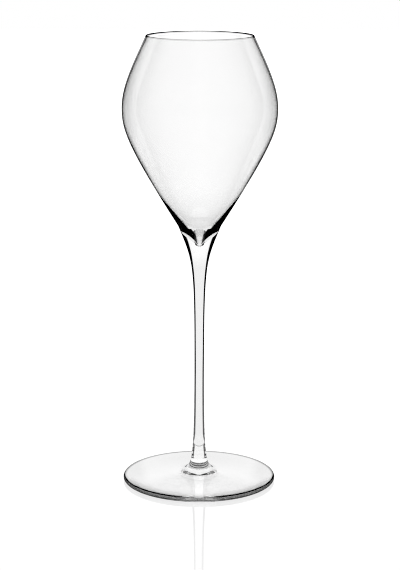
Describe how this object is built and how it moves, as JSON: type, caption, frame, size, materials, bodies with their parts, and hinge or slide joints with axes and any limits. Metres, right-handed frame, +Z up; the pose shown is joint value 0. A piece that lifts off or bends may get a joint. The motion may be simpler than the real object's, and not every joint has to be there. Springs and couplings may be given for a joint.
{
  "type": "champagne glass",
  "caption": "Clear stemmed glass for sparkling wine: a tulip bowl with a high belly and a narrowed rim, drawn to a point above a long thin stem on a round plate foot.",
  "frame": {"origin": "centre of the ring that the foot stands on, in the plane of the table", "axes": "+Z runs up the axis of the glass to the rim; the glass is a body of revolution, so X and Y are free, and -Y faces the camera of the picture"},
  "size_m": [0.082, 0.082, 0.24],
  "materials": {
    "bowl_glass": "polished, clear",
    "stem_glass": "polished, clear",
    "foot_glass": "polished, clear"
  },
  "bodies": {
    "root": {"bowl": "bowl_glass", "stem": "stem_glass", "foot": "foot_glass"}
  },
  "joints": []
}
